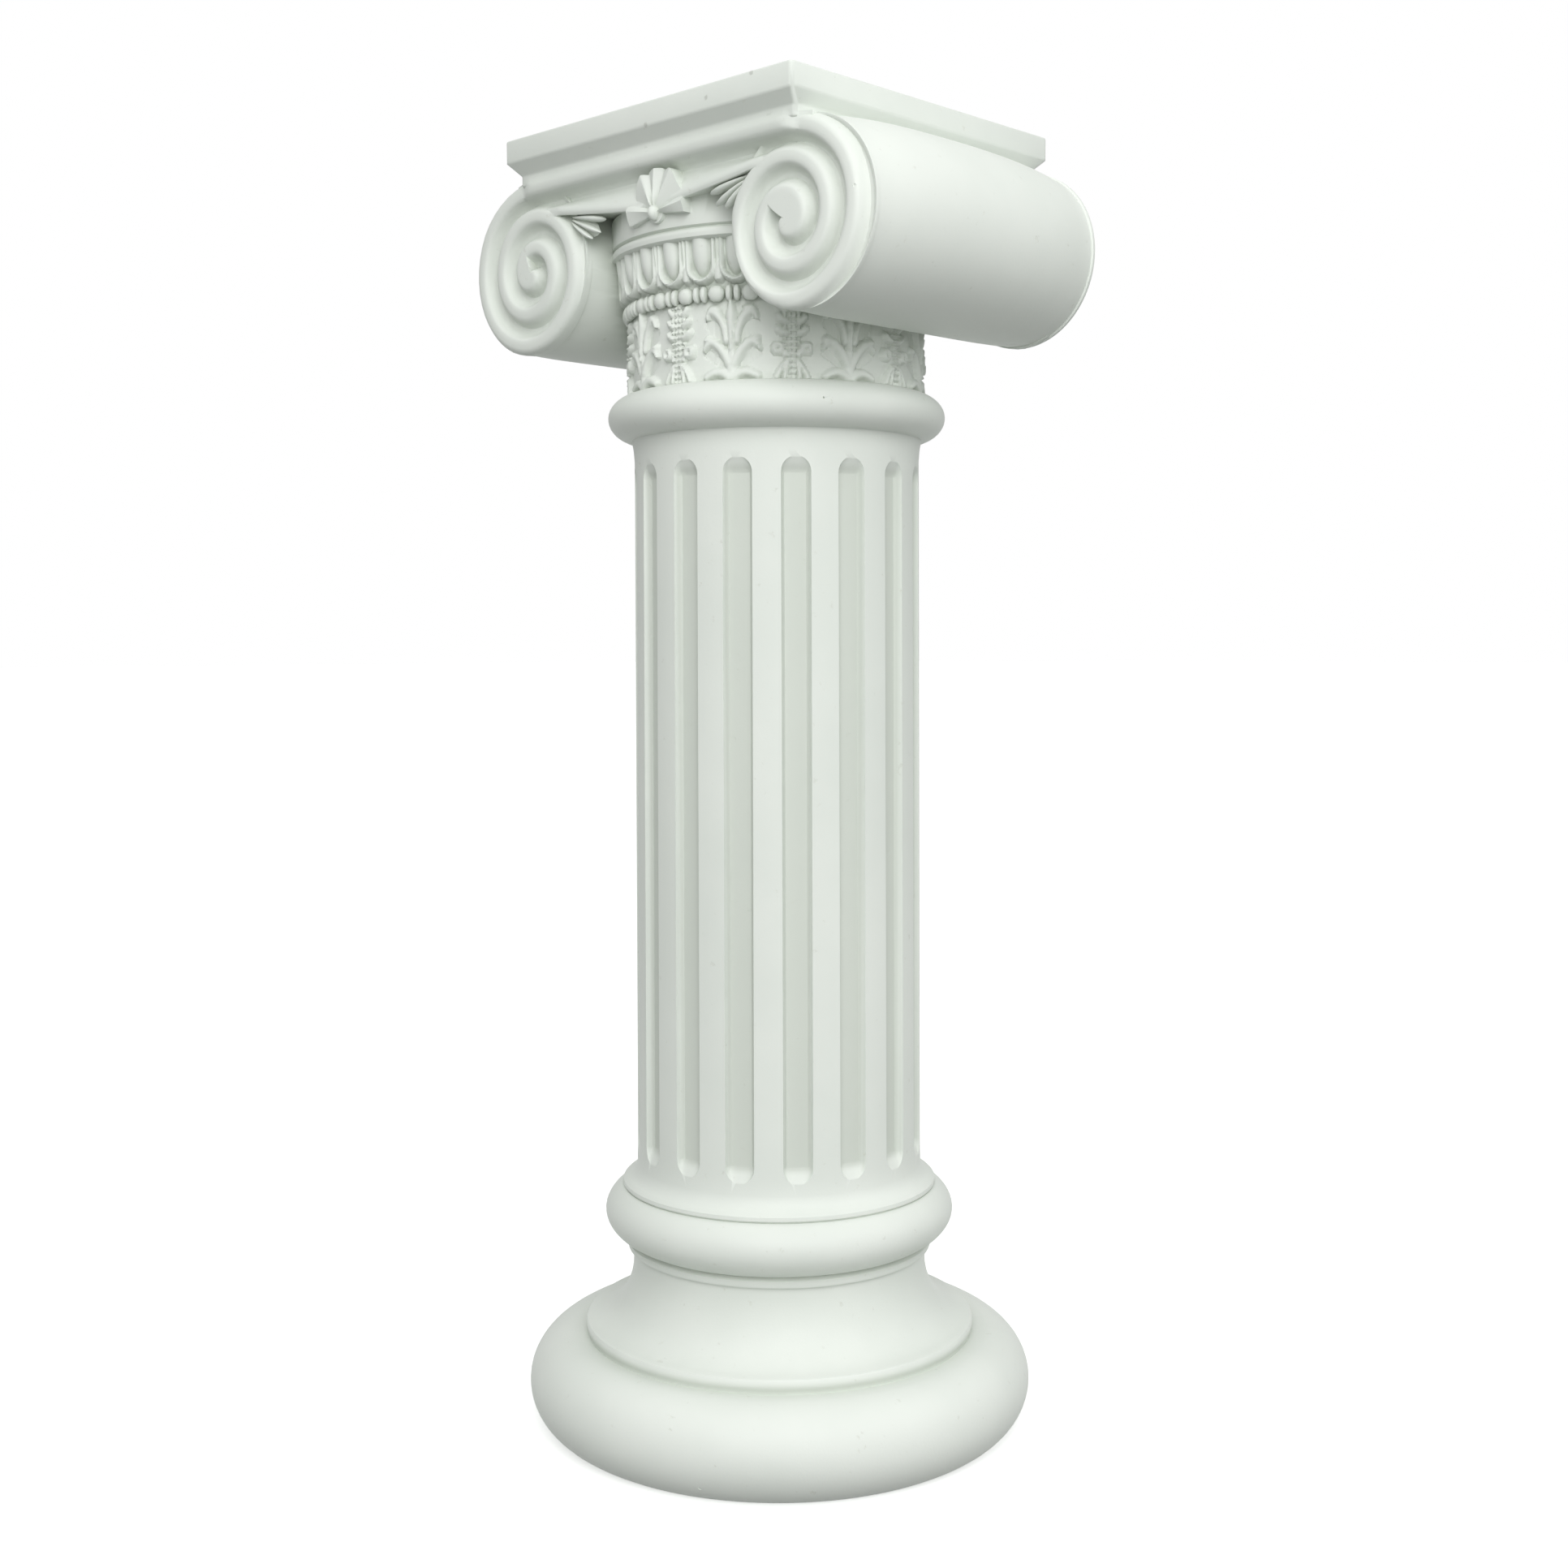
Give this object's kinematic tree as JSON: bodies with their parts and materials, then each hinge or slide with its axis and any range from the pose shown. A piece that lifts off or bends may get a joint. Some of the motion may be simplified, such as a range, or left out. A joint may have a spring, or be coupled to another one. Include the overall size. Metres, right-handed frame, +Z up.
{
  "type": "ionic column",
  "caption": "Small one-piece cast ionic column with a fluted shaft, leaf neck, egg-and-dart band, scrolled volutes and a flat top",
  "frame": {"origin": "centre of the underside, on the column's axis", "axes": "+Z up along the shaft; the volute faces look along -Y and +Y, and the bolsters lie along Y at -X and +X"},
  "size_m": [0.1294, 0.1192, 0.3],
  "materials": {
    "cast_alabaster": "satin"
  },
  "bodies": {
    "root": {"ionic_column": "cast_alabaster"}
  },
  "joints": []
}
